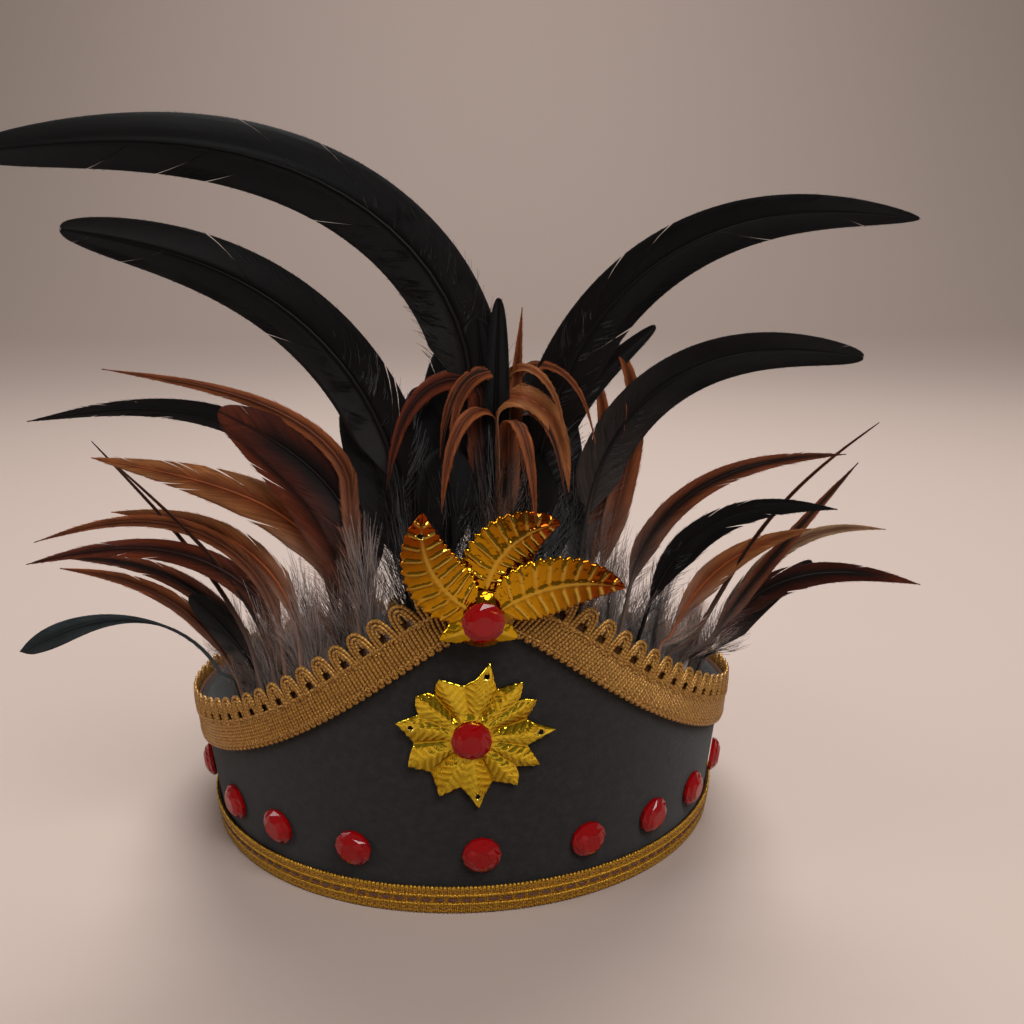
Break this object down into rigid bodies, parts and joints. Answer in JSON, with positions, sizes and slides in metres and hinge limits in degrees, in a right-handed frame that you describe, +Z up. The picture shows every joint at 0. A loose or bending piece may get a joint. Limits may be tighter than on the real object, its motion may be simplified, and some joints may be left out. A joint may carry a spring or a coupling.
{
  "type": "feathered headdress",
  "caption": "Open felt crown band with a raised front, gold braid along its foot and edge, foil ornaments, red stones and feather plumes inside the wall.",
  "frame": {"origin": "middle of the head opening, level with the surface the band stands on", "axes": "+Z up out of the crown, -Y the front of the headdress, +X its left side as worn"},
  "size_m": [0.281, 0.2184, 0.2366],
  "materials": {
    "felt": "charcoal craft felt, matt with a short nap",
    "lower_braid": "yellow gold metallic woven braid",
    "upper_braid": "antique gold looped gimp braid with glitter",
    "red_stone": "clear red faceted acrylic with a foiled back",
    "foil": "bright gold metallised film, stamped",
    "black_feather": "black tail feathers, satin barbs",
    "brown_feather": "rust and brown hackle feathers"
  },
  "bodies": {
    "root": {"band": "felt", "lower_braid": "lower_braid", "upper_braid": "upper_braid", "band_stone_01": "red_stone", "band_stone_02": "red_stone", "band_stone_03": "red_stone", "band_stone_04": "red_stone", "band_stone_05": "red_stone", "band_stone_06": "red_stone", "band_stone_07": "red_stone", "band_stone_08": "red_stone", "band_stone_09": "red_stone", "band_stone_10": "red_stone", "band_stone_11": "red_stone", "band_stone_12": "red_stone", "band_stone_13": "red_stone", "band_stone_14": "red_stone", "band_stone_15": "red_stone", "band_stone_16": "red_stone", "band_stone_17": "red_stone", "band_stone_18": "red_stone", "sunflower_plate": "foil", "sunflower_stone": "red_stone", "leaf_single": "foil", "leaf_pair": "foil", "leaf_stone": "red_stone", "center_plume": "black_feather", "left_plume": "brown_feather", "right_plume": "brown_feather"}
  },
  "joints": []
}
